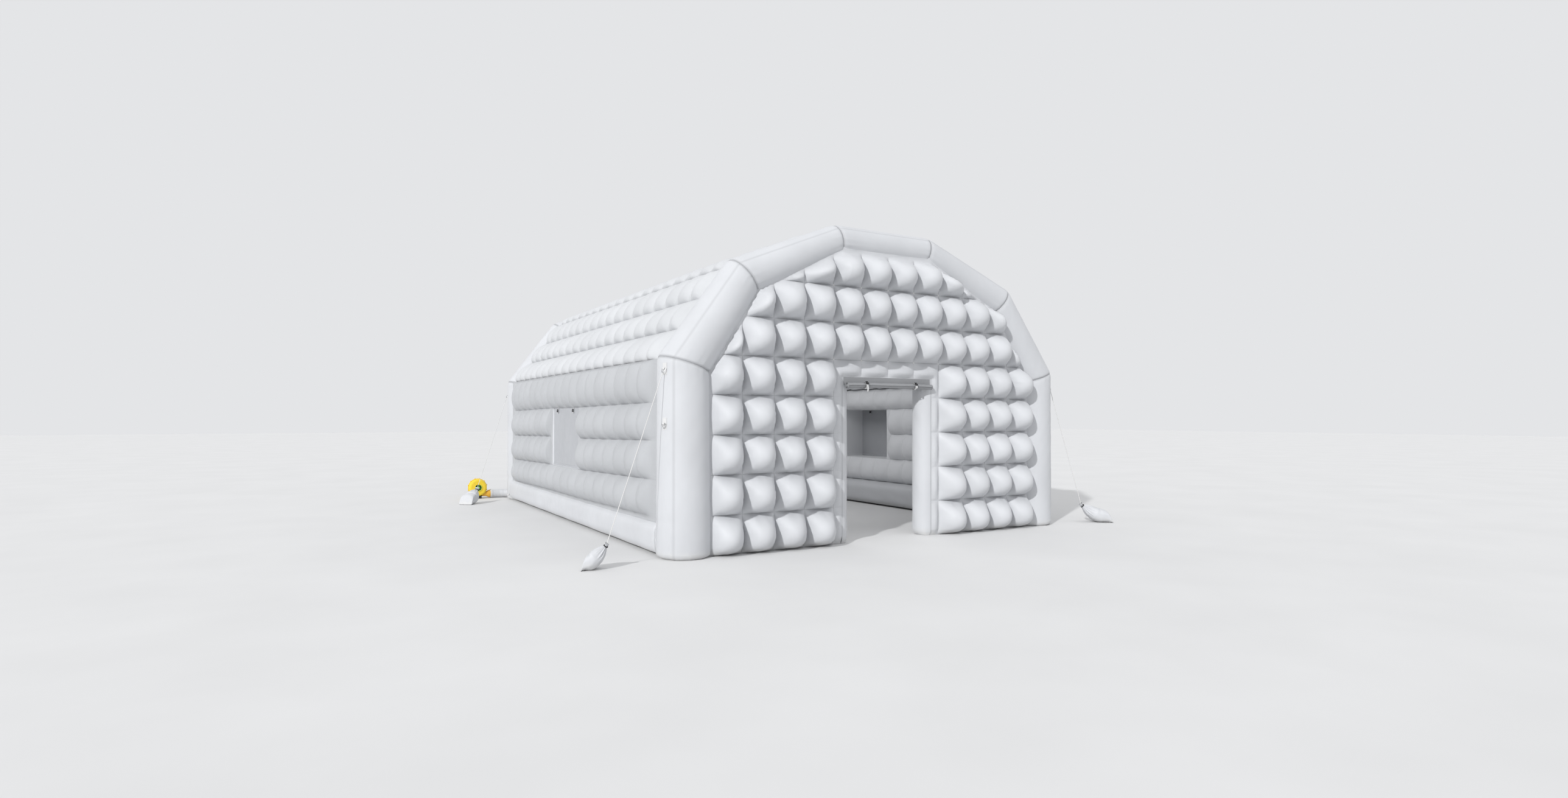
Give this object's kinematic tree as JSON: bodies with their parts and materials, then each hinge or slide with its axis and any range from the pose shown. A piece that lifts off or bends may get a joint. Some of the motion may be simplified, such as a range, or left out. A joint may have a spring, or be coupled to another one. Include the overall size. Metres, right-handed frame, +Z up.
{
  "type": "inflatable tent",
  "caption": "Walk-in tent of quilted air walls between tube arches, with a rolled door curtain, window covers, guy ropes on sandbags and a blower on an air tube.",
  "frame": {"origin": "on the ground in the middle of the tent, at the height of the flat feet of its posts", "axes": "+Y runs back from the doorway along the length, +X to the right of someone facing the doorway, +Z up"},
  "size_m": [7.8326, 8.5559, 3.88],
  "materials": {
    "white_cloth": "coated cloth with a soft sheen",
    "grey_lining": "matt coated cloth",
    "white_webbing": "matt woven webbing",
    "black_plastic": "moulded, satin",
    "steel": "zinc-plated, satin",
    "yellow_plastic": "moulded, semi-gloss",
    "gold_plastic": "moulded, semi-gloss",
    "green_plastic": "moulded, semi-gloss"
  },
  "bodies": {
    "tent": {"front_post_left": "white_cloth", "front_slope_left": "white_cloth", "front_shoulder_left": "white_cloth", "front_top_tube": "white_cloth", "front_shoulder_right": "white_cloth", "front_slope_right": "white_cloth", "front_post_right": "white_cloth", "back_post_left": "white_cloth", "back_arch_top": "white_cloth", "back_post_right": "white_cloth", "base_tube_left": "white_cloth", "base_tube_right": "white_cloth", "side_wall_left": "white_cloth", "side_wall_right": "white_cloth", "roof_slope_left": "white_cloth", "roof_shoulder_left": "white_cloth", "roof_top": "white_cloth", "roof_shoulder_right": "white_cloth", "roof_slope_right": "white_cloth", "front_wall": "white_cloth", "back_wall": "white_cloth", "door_frame_tube": "white_cloth", "door_curtain_sheet": "white_cloth", "window_cover_left": "grey_lining", "window_cover_right": "grey_lining", "anchor_patch_front_left": "white_webbing", "anchor_patch_front_right": "white_webbing", "anchor_patch_back_left": "white_webbing", "anchor_patch_back_right": "white_webbing", "anchor_patch_front_left_middle": "white_webbing", "anchor_ring_front_left": "steel", "anchor_ring_front_right": "steel", "anchor_ring_back_left": "steel", "guy_rope_front_left": "white_webbing", "guy_rope_front_right": "white_webbing", "guy_rope_back_left": "white_webbing", "sandbag_front_left": "white_cloth", "sandbag_front_right": "white_cloth", "sandbag_back_left": "white_cloth", "air_tube": "white_cloth", "air_tube_strap": "white_webbing", "blower_front_shell": "yellow_plastic", "blower_rear_shell": "yellow_plastic", "blower_grille": "green_plastic", "blower_motor": "steel", "blower_outlet": "gold_plastic", "blower_foot": "black_plastic"},
    "door_curtain": {"door_curtain_roll": "white_cloth", "door_strap_left": "white_webbing", "door_strap_right": "white_webbing", "door_buckle_left": "black_plastic", "door_buckle_right": "black_plastic"},
    "window_hem_left": {"window_hem_left": "white_webbing"},
    "window_hem_right": {"window_hem_right": "white_webbing"},
    "impeller": {"blower_impeller": "black_plastic"},
    "switch": {"blower_switch": "black_plastic"},
    "ring_back_right": {"anchor_ring_back_right": "steel"},
    "ring_front_left_middle": {"anchor_ring_front_left_middle": "steel"}
  },
  "joints": [
    {"name": "door_curtain_drop", "type": "slide", "parent": "tent", "child": "door_curtain", "axis": [0, 0, -1], "range_m": [0, 1.86], "deforming": ["door_curtain_sheet"]},
    {"name": "window_left_raise", "type": "slide", "parent": "tent", "child": "window_hem_left", "axis": [0, 0, 1], "range_m": [0, 0.8], "deforming": ["window_cover_left"]},
    {"name": "window_right_raise", "type": "slide", "parent": "tent", "child": "window_hem_right", "axis": [0, 0, 1], "range_m": [0, 0.8], "deforming": ["window_cover_right"]},
    {"name": "impeller_spin", "type": "hinge", "parent": "tent", "child": "impeller", "pos_m": [-3.45, 4.181, 0.205], "axis": [0, 1, 0], "continuous": true},
    {"name": "switch_rock", "type": "hinge", "parent": "tent", "child": "switch", "pos_m": [-3.45, 4.273, 0.3], "axis": [-1, 0, 0], "range_deg": [0, 16]},
    {"name": "ring_back_right_swing", "type": "hinge", "parent": "tent", "child": "ring_back_right", "pos_m": [2.98287, 3.81717, 1.94], "axis": [0.3827, -0.9239, 0], "range_deg": [-8, 165]},
    {"name": "ring_front_left_middle_swing", "type": "hinge", "parent": "tent", "child": "ring_front_left_middle", "pos_m": [-2.98497, -3.81804, 1.46], "axis": [-0.3827, 0.9239, 0], "range_deg": [-8, 165]}
  ]
}
